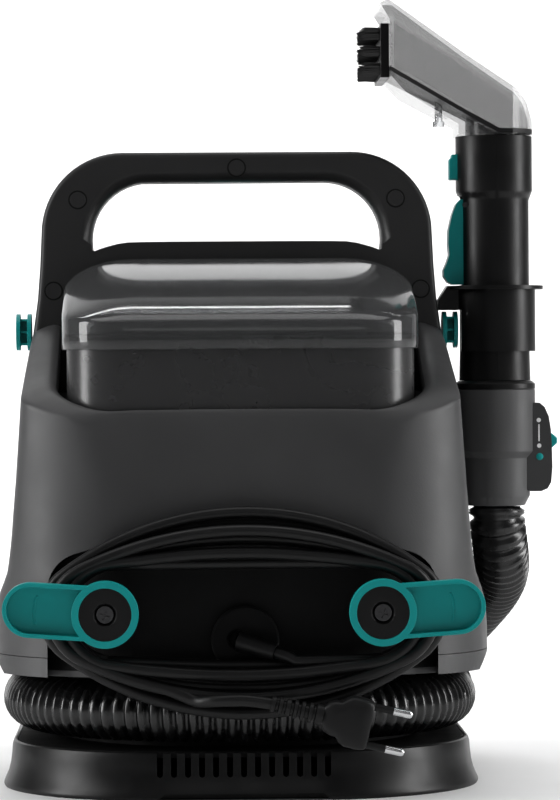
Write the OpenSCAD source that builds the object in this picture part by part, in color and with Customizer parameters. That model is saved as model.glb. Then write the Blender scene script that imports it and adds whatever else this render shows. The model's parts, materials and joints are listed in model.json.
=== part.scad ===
// Portable carpet and upholstery spot cleaner.
// Origin: middle of the base on the floor. +Z up, -Y the face with the cord hooks,
// +X the side where the hand tool is parked. Millimetres.

/* [Base] */
// Height of the base rim above the floor
base_rim_z = 24; // [23:0.5:24.5]
// Half width of the foot flange
flange_half_w = 123.5; // [122:0.5:124]
// Half depth of the foot flange
flange_half_d = 133; // [131:1:134]
// Number of air slots in the front of the base
slot_count = 13; // [7:2:15]
// Distance between neighbouring air slots
slot_pitch = 7; // [6:0.5:7.5]

/* [Body] */
// Half depth of the body, front and back
body_half_d = 135; // [134:0.5:136]
// Wall thickness of the casings
wall = 3; // [2.4:0.2:3.2]
// Corner radius of the front corners, seen from above
front_corner_r = 72; // [68:1:76]
// Corner radius of the rear corners, seen from above
rear_corner_r = 95; // [90:1:97]

/* [Handle] */
// Height of the top of the carry handle
handle_top_z = 330; // [328:1:332]
// Half width of the hand opening
grip_half_w = 77; // [74:1:78]
// Thickness of the handle, front to back
handle_t = 30; // [28:1:30]

/* [Tanks] */
// Half width of both tanks
tank_half_w = 88; // [84:1:88.5]
// Wall thickness of the tanks
tank_wall = 2.4; // [2:0.2:2.8]
// Radius of the filler cap of the clean water tank
filler_r = 20; // [18:0.5:22]

/* [Cord storage] */
// Half distance between the two cord hooks
hook_x = 68.3; // [67:0.1:69]
// Height of the cord hooks
hook_z = 95.3; // [95:0.1:96]
// Length of a hook from its pivot to its tip
hook_len = 50.5; // [48:0.5:51]
// Diameter of the mains cord
cord_d = 6.2; // [6:0.1:6.4]

/* [Hose and hand tool] */
// Outer diameter of the corrugated hose
hose_d = 30; // [29:0.5:30]
// Sideways position of the hand tool
wand_x = 137.3; // [137.2:0.1:137.8]
// Radius of the grip of the hand tool
grip_r = 18.5; // [18:0.1:18.7]

/* [Hidden] */

$fn = 64;
gap = 0.3;
charcoal = [0.20, 0.20, 0.21];
black = [0.06, 0.06, 0.065];
teal = [0.0, 0.50, 0.49];
smoke = [0.45, 0.46, 0.47, 0.5];
clear_plastic = [0.75, 0.76, 0.77, 0.4];
steel = [0.75, 0.75, 0.76];

// Body outline seen from the front: half width and height
body_front = [[121, 61.5], [127, 71], [127, 80], [124, 104], [120, 112], [115, 151],
              [112.7, 180], [111, 208], [108.5, 231], [105.5, 253], [103.4, 287]];
// Body outline seen from the side: distance from the middle and height
body_side = [[131, 61.5], [135, 71], [135, 120], [132, 180], [128, 210], [122, 262], [116, 287]];
// The front shoulders seen from the side: they fall from the handle to the front lip
shoulder_line = [[-12, 240], [-30, 235.5], [-60, 222.5], [-90, 210], [-112, 203],
                 [-122, 198.5], [-127, 196], [-131.5, 190.3], [-135, 186], [-160, 186]];
rim_t = 4;
body_low_z = 61.5;
seam_z = 71;
shoulder_z = 240;
leg_low_z = 203;
rear_top_z = 262;
widest_half_w = 127;
deck_z = 133;

mid_y = 3;
handle_front_y = mid_y - handle_t / 2;
handle_rear_y = mid_y + handle_t / 2;
handle_half_w = 103.4;
handle_corner_r = 43;
grip_corner_r = 30;
grip_top_z = 314;
grip_low_z = 281;

recess_half_w = 98;
recess_top_z = 136.5;
recess_arch_r = 280;
recess_depth = 9;
hook_front_y = -164;
hook_back_y = -156.2;
disc_r = 13;
post_r = 10;
hook_ring_r = 16.5;
arm_half_w = 13.5;
hook_tilt = 4;

hank_outer = [102, 53];
hank_inner = [84, 25];
hank_front_y = -154.5;
hank_back_y = -136.5;

peg_z = 235.4;
peg_r = 9.7;
peg_tip_x = 117.3;

tank_front_y = -125.5;
tank_back_y = -16;
tank_floor_z = 137;
tank_rim_z = 232;
lid_half_w = 90.5;
lid_skirt_z = 225.4;
lid_wall = 2;
clean_front_y = 20;
clean_back_y = 118;
clean_top_z = 258;

button_x = -14;
button_z = 95;

motor_x = -35;
motor_y = 20;
pump_x = 62;
pump_y = 15;

hose_r = hose_d / 2;
hose_loop_z = 43;
hose_loop_a = 110;
hose_loop_b = 118;
hose_loop_n = 2.3;
hose_loop_from = 70;
hose_loop_to = 370;
hose_loop_step = 12;
// Stretch of the hose from the cuff of the hand tool down to the channel
hose_rise = [[138, 3, 141.2], [138, 3, 134], [139, 6, 127], [140.5, 13, 119],
             [142, 24, 111.5], [142.8, 38, 104.5], [142, 54, 97.5], [139, 70, 90],
             [134, 84, 82], [127, 98, 72.5], [116, 110, 60], [101, 120, 50], [84, 121, 45],
             [64, 116, 43]];
// Stretch of the mains cord from its sleeve into the winding
cord_start = [[16, -144.7, 74.8], [20, -146, 73.4], [24, -146.8, 72], [28, -147, 70.5]];
// Stretch of the mains cord from the winding to the plug
cord_end = [[-24, -154, 52], [-20, -158, 52], [-14, -161, 52.4], [-7, -162.6, 52.8],
            [0, -163, 52.8], [7, -163, 52], [13, -163, 51]];
plug_at = [13, -163, 51];
plug_angle = 13;

// ---------- outlines ----------

// Rounded rectangle in plan: half width, front and rear half depth, corner radii
module plan(hw, front, rear, rf, rr) {
    polygon([[-hw, rear - rr], [-hw, rf - front], [rf - hw, -front], [hw - rf, -front],
             [hw, rf - front], [hw, rear - rr], [hw - rr, rear], [rr - hw, rear]]);
    for (s = [-1, 1]) {
        translate([s * (hw - rf), rf - front]) circle(rf);
        translate([s * (hw - rr), rear - rr]) circle(rr);
    }
}

module slab(hw, hd, r, z0, z1) {
    translate([0, 0, z0])
        linear_extrude(z1 - z0)
            plan(hw, hd, hd, r, r);
}

function mirrored(side) = concat(
    side, [for (i = [len(side) - 1 : -1 : 0]) [-side[i][0], side[i][1]]]);

function inset(side, d) = [for (p = side) [p[0] - d, p[1]]];

// The outer form of the body, drawn in by d on every side, between two heights
module body_form(d, z0, z1) {
    intersection() {
        translate([0, 0, z0])
            linear_extrude(z1 - z0)
                plan(widest_half_w - d, body_half_d - d, body_half_d - d,
                     front_corner_r - d, rear_corner_r - d);
        rotate([90, 0, 0])
            linear_extrude(400, center = true)
                polygon(mirrored(inset(body_front, d)));
        rotate([90, 0, 90])
            linear_extrude(400, center = true)
                polygon(mirrored(inset(body_side, d)));
    }
}

module box(x0, x1, y0, y1, z0, z1) {
    translate([x0, y0, z0])
        cube([x1 - x0, y1 - y0, z1 - z0]);
}

// A plate drawn in X and Z, thick from y0 to y1
module upright(y0, y1) {
    translate([0, y1, 0])
        rotate([90, 0, 0])
            linear_extrude(y1 - y0)
                children();
}

// Round bar from p along an axis "x", "y" or "z"
module bar(p, r, h, axis) {
    turn = axis == "x" ? [0, 90, 0] : axis == "y" ? [-90, 0, 0] : [0, 0, 0];
    translate(p)
        rotate(turn)
            cylinder(r = r, h = h);
}

// Arched mouth of the cord recess
module recess_mouth() {
    intersection() {
        translate([-recess_half_w, 40])
            square([2 * recess_half_w, recess_top_z - 40]);
        translate([0, recess_top_z - recess_arch_r])
            circle(recess_arch_r, $fn = 128);
    }
}

// ---------- base ----------

module base_tray() {
    color(black)
        difference() {
            union() {
                slab(flange_half_w, flange_half_d, 92, 0, 12);
                slab(flange_half_w - 4.5, flange_half_d - 4.5, 88, 0, base_rim_z);
            }
            slab(flange_half_w - 7.5, flange_half_d - 7.5, 85, 3, base_rim_z + 1);
            for (i = [0 : slot_count - 1])
                translate([(i - (slot_count - 1) / 2) * slot_pitch, 0, 0]) {
                    box(-1.5, 1.5, -flange_half_d, -100, 14, base_rim_z + 1);
                    bar([0, -flange_half_d - 1, 14], 1.5, 33, "y");
                }
            box(-41, 41, -flange_half_d - 1, -flange_half_d + 8, -1, 4.5);
            foot_places()
                cylinder(r = 12.1, h = 2.4, center = true);
            screw_places() {
                translate([0, 0, -1])
                    cylinder(r = 2.1, h = 6);
                translate([0, 0, -1])
                    cylinder(r = 4.2, h = 2.5);
            }
        }
}

module foot_places() {
    for (sx = [-1, 1], sy = [-1, 1])
        translate([sx * 84, sy * 88, 0])
            children();
}

module screw_places() {
    for (sx = [-1, 1], y = [-62, 0, 62])
        translate([sx * 60, y, 0])
            children();
}

module rubber_feet() {
    color([0.1, 0.1, 0.1])
        foot_places()
            cylinder(r = 12, h = 1.2);
}

module base_screws() {
    color(steel)
        screw_places() {
            difference() {
                translate([0, 0, 0.4])
                    cylinder(r = 4, h = 1.1);
                box(-2.6, 2.6, -0.5, 0.5, 0, 1);
                box(-0.5, 0.5, -2.6, 2.6, 0, 1);
            }
            translate([0, 0, 1.5])
                cylinder(r = 2, h = 10);
        }
}

module hose_drum() {
    color(black)
        difference() {
            union() {
                slab(115.6, 125.1, 84.6, base_rim_z - 3, base_rim_z);
                slab(92.5, 100.5, 84, base_rim_z, body_low_z);
            }
            slab(89.5, 97.5, 81, base_rim_z - 4, body_low_z + 1);
            bar([80, 42, hose_loop_z], 13, 20, "x");
        }
}

// ---------- body shells ----------

module lower_shell() {
    color(charcoal)
        difference() {
            body_form(0, body_low_z, seam_z);
            body_form(wall, body_low_z + wall, seam_z + 1);
            difference() {
                upright(-160, -60)
                    recess_mouth();
                body_form(recess_depth, 40, 160);
            }
            bar([motor_x, motor_y, 50], 30, 30, "z");
        }
}

module front_casing() {
    color(charcoal)
        difference() {
            union() {
                difference() {
                    body_form(0, seam_z, shoulder_z);
                    body_form(wall, seam_z - 1, shoulder_z + 1);
                }
                intersection() {
                    body_form(0, seam_z, shoulder_z);
                    shoulder_strip(-rim_t, 1);
                }
            }
            box(-140, 140, mid_y, 150, 0, 300);
            box(-140, 140, handle_front_y, 150, leg_low_z, 300);
            upright(-160, -60)
                recess_mouth();
            shoulder_strip(0, 60);
            front_tank_form(-1.5, deck_z, 300);
            lid_form(-2, leg_low_z, 300);
        }
}

// A strip that follows the front shoulders, between two heights from their line
module shoulder_strip(low, high) {
    count = len(shoulder_line);
    rotate([90, 0, 90])
        linear_extrude(300, center = true)
            polygon(concat(
                [for (p = shoulder_line) [p[0], p[1] + low]],
                [for (i = [count - 1 : -1 : 0]) [shoulder_line[i][0], shoulder_line[i][1] + high]]));
}

module rear_casing() {
    color(charcoal)
        difference() {
            body_form(0, seam_z, rear_top_z);
            body_form(wall, seam_z - 1, rear_top_z + 1);
            box(-140, 140, -150, mid_y, 0, 300);
            box(-140, 140, mid_y, handle_rear_y, leg_low_z, 300);
            bar([button_x, 120, button_z], 11.4, 30, "y");
        }
}

module tank_deck() {
    color(black)
        difference() {
            body_form(recess_depth + 2.8, deck_z, deck_z + 3);
            box(38, 72, handle_front_y + 1, handle_rear_y, 120, 150);
            box(-72, -38, handle_front_y + 1, handle_rear_y, 120, 150);
            bar([0, 74, 120], 12.2, 30, "z");
        }
}

// ---------- handle ----------

// Outline of the handle seen from the front, drawn in by d
module handle_outline(d) {
    difference() {
        union() {
            polygon(mirrored(inset(
                [[111.4, leg_low_z], [111, 208], [108.5, 231], [105.5, 253], [103.4, 287]], d)));
            for (s = [-1, 1])
                translate([s * (handle_half_w - handle_corner_r), handle_top_z - handle_corner_r])
                    circle(handle_corner_r - d);
            translate([-(handle_half_w - handle_corner_r), 280])
                square([2 * (handle_half_w - handle_corner_r), handle_top_z - d - 280]);
        }
        grip_outline(d);
    }
}

// The hand opening, grown by d
module grip_outline(d) {
    intersection() {
        union() {
            for (s = [-1, 1])
                translate([s * (grip_half_w - grip_corner_r), grip_top_z - grip_corner_r])
                    circle(grip_corner_r + d);
            translate([-(grip_half_w - grip_corner_r), grip_low_z - d])
                square([2 * (grip_half_w - grip_corner_r), grip_top_z - grip_low_z + 2 * d]);
        }
        translate([-grip_half_w - d, grip_low_z - d])
            square([2 * (grip_half_w + d), 60]);
    }
}

cap_places = [[-84, 305], [0, 321.5], [84, 305], [-97, 257], [97, 257]];

// A moulded half: a face plate with a rim behind it, open towards the other half
module handle_half(face_y, open_y) {
    low = min(face_y, open_y);
    high = max(face_y, open_y);
    into = open_y > face_y ? 1 : -1;
    difference() {
        upright(low, high)
            handle_outline(0);
        upright(min(face_y + into * wall, open_y + into), max(face_y + into * wall, open_y + into))
            difference() {
                handle_outline(wall);
                for (p = cap_places)
                    translate(p)
                        circle(5);
            }
        // room for the two ducts that rise inside the crown
        box(37, 73, handle_front_y + 4, handle_rear_y - 4, 190, 250);
        box(-73, -37, handle_front_y + 4, handle_rear_y - 4, 190, 250);
    }
}

module handle_front() {
    color(charcoal)
        difference() {
            handle_half(handle_front_y, mid_y);
            for (p = cap_places)
                bar([p[0], handle_front_y - 1, p[1]], 4.4, 3, "y");
        }
}

module handle_rear() {
    color(charcoal)
        handle_half(handle_rear_y, mid_y);
}

module handle_screw_caps() {
    color([0.16, 0.16, 0.165])
        for (p = cap_places)
            bar([p[0], handle_front_y + 0.4, p[1]], 4.3, 1.6, "y");
}

// ---------- cord storage ----------

module cord_panel() {
    color(black)
        difference() {
            intersection() {
                difference() {
                    body_form(recess_depth, 64.5, 150);
                    body_form(recess_depth + 2.4, 60, 151);
                }
                upright(-160, -60)
                    recess_mouth();
            }
            for (s = [-1, 1])
                bar([s * hook_x, -150, hook_z], post_r + 0.05, 60, "y");
            bar([0, -150, 80], 4, 60, "y");
        }
}

module cord_grommet() {
    color(black)
        difference() {
            bar([1, -132, 80], 17, 5.9, "y");
            bar([-3, -140, 80.5], 4.3, 30, "y");
        }
}

// Tapered sleeve that the cord leaves through
module cord_sleeve() {
    color(black)
        translate([-2, -137.4, 80])
            rotate([0, 90 + 15, -22])
                difference() {
                    cylinder(r1 = 5.4, r2 = 4, h = 20);
                    translate([0, 0, -1])
                        cylinder(d = cord_d + 0.6, h = 22);
                }
}

module hook_posts() {
    color(black)
        for (s = [-1, 1])
            difference() {
                union() {
                    bar([s * hook_x, hook_front_y + 0.6, hook_z], disc_r, 8, "y");
                    bar([s * hook_x, hook_back_y + gap, hook_z], 15.2, 1.2, "y");
                    bar([s * hook_x, hook_back_y + gap, hook_z], post_r, 34, "y");
                }
                bar([s * hook_x, hook_front_y - 1, hook_z], 4.4, 5, "y");
                bar([s * hook_x, hook_front_y - 1, hook_z], 2.05, 22, "y");
            }
}

module hook_screws() {
    color(steel)
        for (s = [-1, 1])
            difference() {
                union() {
                    bar([s * hook_x, hook_front_y + 1.8, hook_z], 4.2, 2.2, "y");
                    bar([s * hook_x, hook_front_y + 1.8, hook_z], 2, 18, "y");
                }
                for (tilt = [0, 90])
                    translate([s * hook_x, hook_front_y + 2.3, hook_z])
                        rotate([0, tilt + 20, 0])
                            cube([5, 1.4, 0.9], center = true);
            }
}

module hook_outline(d) {
    circle(hook_ring_r - d);
    translate([hook_len - arm_half_w, 0])
        circle(arm_half_w - d);
    translate([0, -arm_half_w + d])
        square([hook_len - arm_half_w, 2 * (arm_half_w - d)]);
}

module hook_arm() {
    difference() {
        upright(hook_front_y, hook_back_y)
            hook_outline(0);
        bar([0, hook_front_y - 1, 0], disc_r + 0.05, 12, "y");
        upright(hook_front_y - 1, hook_back_y - 2)
            difference() {
                hook_outline(2);
                circle(hook_ring_r);
            }
    }
    upright(hook_front_y + 5.4, hook_back_y - 1.8)
        intersection() {
            difference() {
                translate([14, 0])
                    circle(21.6);
                translate([14, 0])
                    circle(20.6);
            }
            translate([30, -7])
                square([12, 14]);
        }
}

module hook_right() {
    color(teal)
        translate([hook_x, 0, hook_z])
            rotate([0, -hook_tilt, 0])
                hook_arm();
}

module hook_left() {
    color(teal)
        translate([-hook_x, 0, hook_z])
            rotate([0, hook_tilt, 0])
                mirror([1, 0, 0])
                    hook_arm();
}

// ---------- side pegs ----------

module side_peg() {
    root_x = 109.2;
    bar([root_x, mid_y, peg_z], peg_r, 2.2, "x");
    bar([peg_tip_x - 2.2, mid_y, peg_z], peg_r, 2.2, "x");
    difference() {
        box(root_x + 1, peg_tip_x - 1, mid_y - 6.5, mid_y + 6.5, peg_z - 7, peg_z + 7);
        for (y = [-7, 0.8], z = [-5.8, 0.6])
            box(root_x, peg_tip_x, mid_y + y, mid_y + y + 6.2, peg_z + z, peg_z + z + 5.2);
    }
}

module peg_right() {
    color(teal)
        side_peg();
}

module peg_left() {
    color(teal)
        mirror([1, 0, 0])
            side_peg();
}

// ---------- machinery ----------

module motor_housing() {
    color(charcoal)
        difference() {
            bar([motor_x, motor_y, 64.8], 50, 51, "z");
            bar([motor_x, motor_y, 67.3], 47, 46, "z");
            bar([motor_x, motor_y, 60], 27, 10, "z");
            bar([motor_x, motor_y, 110], 12, 10, "z");
        }
}

module motor() {
    color(steel)
        difference() {
            union() {
                bar([motor_x, motor_y, 84], 28, 26, "z");
                bar([motor_x, motor_y, 109], 11, 4, "z");
                bar([motor_x, motor_y, 90], 46.5, 3, "z");
            }
            bar([motor_x, motor_y, 80], 3.05, 24, "z");
        }
}

module impeller() {
    color([0.55, 0.56, 0.58])
        translate([motor_x, motor_y, 0]) {
            translate([0, 0, 69])
                cylinder(r = 42, h = 1.6);
            for (i = [0 : 8])
                rotate([0, 0, i * 40])
                    translate([12, -0.8, 70])
                        cube([29, 1.6, 8]);
            translate([0, 0, 69])
                cylinder(r = 8, h = 12);
            translate([0, 0, 69])
                cylinder(r = 3, h = 32);
        }
}

module pump_body() {
    color([0.3, 0.3, 0.32])
        difference() {
            union() {
                bar([pump_x, pump_y, 64.8], 20, 36, "z");
                box(pump_x - 20, pump_x + 20, pump_y - 14, pump_y + 14, 64.8, 92);
                bar([pump_x + 16, pump_y, 78], 5, 14, "x");
            }
            bar([pump_x, pump_y, 76], 8.05, 40, "z");
        }
}

module pump_plunger() {
    color(steel) {
        bar([pump_x, pump_y, 80], 8, 24, "z");
        bar([pump_x, pump_y, 104], 10.5, 3, "z");
    }
}

module duct(x0, x1) {
    difference() {
        box(x0, x1, handle_front_y + 5, handle_rear_y - 5, deck_z - 2, 246);
        box(x0 + 2, x1 - 2, handle_front_y + 7, handle_rear_y - 7, deck_z - 3, 247);
    }
}

module air_duct() {
    color(black)
        duct(-70, -40);
}

module inlet_duct() {
    color(black)
        duct(40, 70);
}

module hose_inlet() {
    color(black)
        difference() {
            union() {
                bar([109, 28, hose_loop_z], 17.3, 30, "y");
                bar([84, 42, hose_loop_z], 12.8, 25, "x");
            }
            bar([109, 27, hose_loop_z], 12.5, 26, "y");
            bar([83, 42, hose_loop_z], 10, 20, "x");
        }
}

module power_button() {
    color(teal)
        difference() {
            union() {
                bar([button_x, 129, button_z], 11, 9, "y");
                bar([button_x, 128.4, button_z], 13, 3, "y");
            }
            bar([button_x, 137, button_z], 7, 3, "y");
        }
}

// ---------- tanks ----------

module front_tank_form(d, z0, z1) {
    translate([0, (tank_front_y + tank_back_y) / 2, 0])
        slab(tank_half_w - d, (tank_back_y - tank_front_y) / 2 - d, 27 - d, z0, z1);
}

module recovery_tank() {
    color(smoke) {
        difference() {
            front_tank_form(0, tank_floor_z, tank_rim_z);
            front_tank_form(tank_wall, tank_floor_z + tank_wall, tank_rim_z + 1);
        }
        // standpipe that the dirty water comes in through
        difference() {
            bar([50, -34, tank_floor_z + 1], 11, 90, "z");
            bar([50, -34, tank_floor_z + tank_wall], 9, 100, "z");
        }
        // guide rod of the float
        bar([-50, -36, tank_floor_z + 1], 3, 92, "z");
    }
}

module recovery_float() {
    color([0.85, 0.85, 0.82])
        difference() {
            bar([-50, -36, tank_floor_z + tank_wall + gap], 14, 22, "z");
            bar([-50, -36, tank_floor_z], 3.08, 40, "z");
        }
}

// The lid seen from the side: an upright skirt, a slanted front and a gently rising top
lid_line = [[-140, lid_skirt_z], [-140, 236.5], [-127.8, 236.5], [-122, 242], [-105, 252],
            [-70, 262], [-40, 270], [-24, 273.4], [-10, 274], [-10, lid_skirt_z]];

// Plan form of the lid, drawn in by d, between two heights
module lid_form(d, z0, z1) {
    translate([0, -70.7, 0])
        slab(lid_half_w - d, 57.1 - d, 29 - d, z0, z1);
}

module lid_under(drop) {
    rotate([90, 0, 90])
        linear_extrude(200, center = true)
            polygon([for (p = lid_line) [p[0], p[1] - drop]]);
}

module tank_lid() {
    color(smoke)
        difference() {
            intersection() {
                lid_form(0, lid_skirt_z, 276);
                lid_under(0);
            }
            intersection() {
                lid_form(lid_wall, lid_skirt_z - 1, 276);
                lid_under(lid_wall);
            }
        }
}

module lid_seal() {
    color([0.12, 0.12, 0.12])
        difference() {
            front_tank_form(0.2, tank_rim_z + 0.1, tank_rim_z + 1.5);
            front_tank_form(tank_wall + 1, tank_rim_z - 1, tank_rim_z + 3);
        }
}

module clean_tank_form(d, z0, z1) {
    translate([0, (clean_front_y + clean_back_y) / 2, 0])
        slab(tank_half_w - 8 - d, (clean_back_y - clean_front_y) / 2 - d, 40 - d, z0, z1);
}

module clean_tank() {
    color(clear_plastic)
        difference() {
            union() {
                clean_tank_form(0, tank_floor_z + 0.5, clean_top_z);
                bar([0, 60, clean_top_z - 1], 16, 7, "z");
            }
            clean_tank_form(tank_wall, tank_floor_z + 0.5 + tank_wall, clean_top_z - tank_wall);
            bar([0, 60, clean_top_z - 10], 13.6, 20, "z");
            bar([0, 74, tank_floor_z - 2], 3.3, 10, "z");
        }
}

module filler_cap() {
    color(teal)
        difference() {
            bar([0, 60, clean_top_z + 0.2], filler_r, 9.3, "z");
            bar([0, 60, clean_top_z - 1], 16.05, 7.3, "z");
            for (i = [0 : 11])
                rotate_about([0, 60], i * 30)
                    bar([filler_r + 0.6, 0, clean_top_z - 1], 1.6, 20, "z");
        }
}

module rotate_about(p, angle) {
    translate([p[0], p[1], 0])
        rotate([0, 0, angle])
            children();
}

module outlet_valve() {
    color(teal) {
        bar([0, 74, tank_floor_z + 3.2], 8, 2.4, "z");
        bar([0, 74, deck_z - 4], 3.24, 12, "z");
    }
}

module valve_seat() {
    color(black)
        difference() {
            bar([0, 74, deck_z - 14], 12, 17.8, "z");
            bar([0, 74, deck_z - 5.5], 9, 12, "z");
            bar([0, 74, deck_z - 15], 4, 12, "z");
        }
}

// ---------- hand tool ----------

module tool_holder() {
    color(black)
        difference() {
            union() {
                bar([wand_x, mid_y, 223.7], 21.7, 34.9, "z");
                box(wand_x - 21.7, wand_x + 21.7, mid_y, mid_y + 13, 223.7, 258.6);
                bar([wand_x, mid_y, 256.6], 25.9, 2, "z");
                upright(mid_y - 9, mid_y + 9)
                    polygon([[106.9, 245.8], [106.9, 251], [111.6, 258.6], [126, 258.6],
                             [126, 245.8]]);
            }
            bar([wand_x, mid_y, 200], 19.4, 80, "z");
            box(wand_x - 19.4, wand_x + 19.4, mid_y, 60, 200, 270);
            box(90, 118.8, -40, 60, 200, 245.8);
            box(90, 106.9, -40, 60, 200, 270);
        }
}

// Outer form of the grip, neck to head, turned about the tool's axis
module wand_profile(d) {
    polygon([[0, 208.2], [19 - d, 208.2], [18.6 - d, 224], [grip_r - d, 260], [grip_r - d, 304],
             [20.4 - d, 309], [20.4 - d, 338], [0, 338]]);
}

module wand_form(d) {
    translate([wand_x, mid_y, 0])
        rotate_extrude()
            wand_profile(d);
}

module wand_tube() {
    difference() {
        wand_form(0);
        difference() {
            translate([0, 0, -0.2])
                wand_form(2.4);
            box(90, 180, -40, 40, 334, 340);
        }
        bar([wand_x, mid_y, 330], 15.1, 10, "z");
        bar([wand_x, mid_y, 205], 15, 10, "z");
        // slot and pin hole for the trigger
        box(110, 128, mid_y - 7.4, mid_y + 7.4, 259, 306.5);
        bar([121.6, mid_y - 14, 301.6], 1.5, 28, "y");
        // slot for the nozzle latch
        box(110, 126, mid_y - 5.4, mid_y + 5.4, 314.6, 329);
    }
}

module wand_shell_left() {
    color(black)
        difference() {
            wand_tube();
            box(wand_x, 200, -60, 60, 190, 350);
        }
}

module wand_shell_right() {
    color(black)
        difference() {
            wand_tube();
            box(80, wand_x, -60, 60, 190, 350);
        }
}

module wand_ring() {
    color(black)
        translate([wand_x, mid_y, 0])
            rotate_extrude()
                polygon([[14, 203.6], [21.5, 203.6], [21.5, 206.4], [19.4, 208.1], [14, 208.1]]);
}

module hose_cuff() {
    color(charcoal)
        translate([wand_x, mid_y, 0])
            rotate_extrude()
                polygon([[14, 141.6], [15.6, 141.6], [18.4, 147], [18.4, 167], [21.2, 170.5],
                         [21.4, 203.5], [14, 203.5]]);
}

module trigger() {
    color(teal)
        difference() {
            upright(mid_y - 7, mid_y + 7)
                polygon([[122, 304.5], [119, 304.6], [116.6, 302], [114.4, 296], [112.6, 288],
                         [112.4, 281], [112.9, 275], [111.4, 270.6], [109.8, 267], [110, 263.6],
                         [112, 260.6], [114.4, 259.4], [122, 259.4]]);
            bar([121.6, mid_y - 8, 301.6], 1.55, 16, "y");
        }
    color(teal)
        upright(mid_y - 3, mid_y + 3)
            polygon([[121.9, 296], [126, 292], [126, 275], [121.9, 270]]);
}

module trigger_pin() {
    color(steel)
        bar([121.6, mid_y - 9.4, 301.6], 1.5, 18.8, "y");
}

module nozzle_latch() {
    color(teal)
        upright(mid_y - 5, mid_y + 5)
            polygon([[113.2, 315], [113.2, 326], [114.6, 327], [114.4, 328.6], [121, 328.6],
                     [121, 315]]);
}

// Nozzle seen from the front; the seam between its two clear halves slants
nozzle_outline = [[79.5, 408.4], [75.2, 406.4], [80.2, 398], [80.2, 369], [88.5, 360],
                  [117, 343.6], [117, 338.4], [157.4, 338.4], [157.2, 346], [153.6, 356],
                  [148, 362.6]];
nozzle_cavity = [[70, 405.2], [70, 400.6], [82.6, 400.4], [82.6, 372.6], [92, 369],
                 [133, 346.2], [134, 341.8], [155, 341.8], [154.8, 345.5], [151.6, 354.8],
                 [146.6, 360.6], [81.4, 405.2]];
seam_from = [76, 374.6];
seam_to = [139, 340.4];

// Fan shape in plan: wide at the mouth, as wide as the grip at the back
module nozzle_fan(d) {
    linear_extrude(500)
        polygon([[60, mid_y - 40 + d], [80, mid_y - 38 + d], [120, mid_y - 22 + d],
                 [146, mid_y - 20.4 + d], [154, mid_y - 14 + d], [157.7 - d, mid_y - 6],
                 [157.7 - d, mid_y + 6], [154, mid_y + 14 - d], [146, mid_y + 20.4 - d],
                 [120, mid_y + 22 - d], [80, mid_y + 38 - d], [60, mid_y + 40 - d]]);
}

module nozzle_slice(low, high) {
    polygon([[seam_from[0] - 40, seam_from[1] + 21.7 + low], [seam_to[0], seam_to[1] + low],
             [200, seam_to[1] + low], [200, seam_to[1] + high], [seam_to[0], seam_to[1] + high],
             [seam_from[0] - 40, seam_from[1] + 21.7 + high]]);
}

module nozzle_part(low, high) {
    intersection() {
        upright(-60, 60)
            intersection() {
                polygon(nozzle_outline);
                nozzle_slice(low, high);
            }
        nozzle_fan(0);
    }
}

module nozzle_shell() {
    color(clear_plastic)
        difference() {
            union() {
                nozzle_part(1.2, 90);
                bar([wand_x, mid_y, 330.6], 15, 25, "z");
            }
            intersection() {
                upright(-60, 60)
                    polygon(nozzle_cavity);
                nozzle_fan(2.2);
            }
            bar([wand_x, mid_y, 330], 13, 14, "z");
        }
}

module nozzle_gasket() {
    color([0.12, 0.12, 0.13])
        difference() {
            nozzle_part(-1.2, 1.2);
            bar([wand_x, mid_y, 330], 15.1, 30, "z");
        }
}

module nozzle_cover() {
    color(clear_plastic)
        difference() {
            nozzle_part(-60, -1.2);
            bar([wand_x, mid_y, 330], 15.1, 30, "z");
            bar([108, mid_y, 340], 2.05, 30, "z");
        }
}

module brush_base() {
    color(black)
        box(75.6, 80.1, mid_y - 33, mid_y + 33, 367.6, 396);
}

module brush_bristles() {
    color([0.04, 0.04, 0.04])
        for (row = [0 : 2], col = [-3 : 3])
            bar([64.2 + 0.6 * abs(col), mid_y + col * 9, 372.6 + row * 9.3], 3.6,
                11.4 - 0.6 * abs(col), "x");
}

module spray_tip() {
    color(clear_plastic) {
        bar([108, mid_y, 346], 2, 8, "z");
        bar([108, mid_y, 343.4], 3, 2.8, "z");
    }
}

module control_housing() {
    color(charcoal)
        difference() {
            upright(mid_y - 9, mid_y + 9)
                polygon([[150, 153], [154, 149.6], [163.6, 149.6], [166.3, 153], [167, 162],
                         [166.4, 180], [165, 190], [161.6, 196], [156, 196.4],
                         [150, 196.4]]);
            translate([wand_x, mid_y, 0])
                rotate_extrude()
                    polygon([[0, 130], [18.45, 130], [18.45, 167], [21.25, 170.5],
                             [21.45, 204], [0, 204]]);
            box(163.6, 170, mid_y - 3.4, mid_y + 3.4, 163, 188);
            bar([160.2, mid_y - 10, 167.6], 2.5, 2.5, "y");
        }
    color(teal)
        bar([160.2, mid_y - 9.2, 167.6], 2.4, 1.6, "y");
}

module control_slider() {
    color(teal)
        upright(mid_y - 3, mid_y + 3)
            polygon([[163.9, 171.6], [166.8, 171.6], [168.4, 173], [170.2, 174.6],
                     [170.2, 177.4], [168.4, 179], [166.8, 180.2], [163.9, 180.2]]);
}

// ---------- hose, cord and plug ----------

function signed_pow(v, e) = sign(v) * pow(abs(v), e);

hose_loop = [for (a = [hose_loop_from : hose_loop_step : hose_loop_to])
    [hose_loop_a * signed_pow(cos(a), 2 / hose_loop_n),
     hose_loop_b * signed_pow(sin(a), 2 / hose_loop_n), hose_loop_z]];

function unit(v) = v / norm(v);

// Direction of a route at point i
function heading(route, i) = unit(
    route[min(i + 1, len(route) - 1)] - route[max(i - 1, 0)]);

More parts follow.
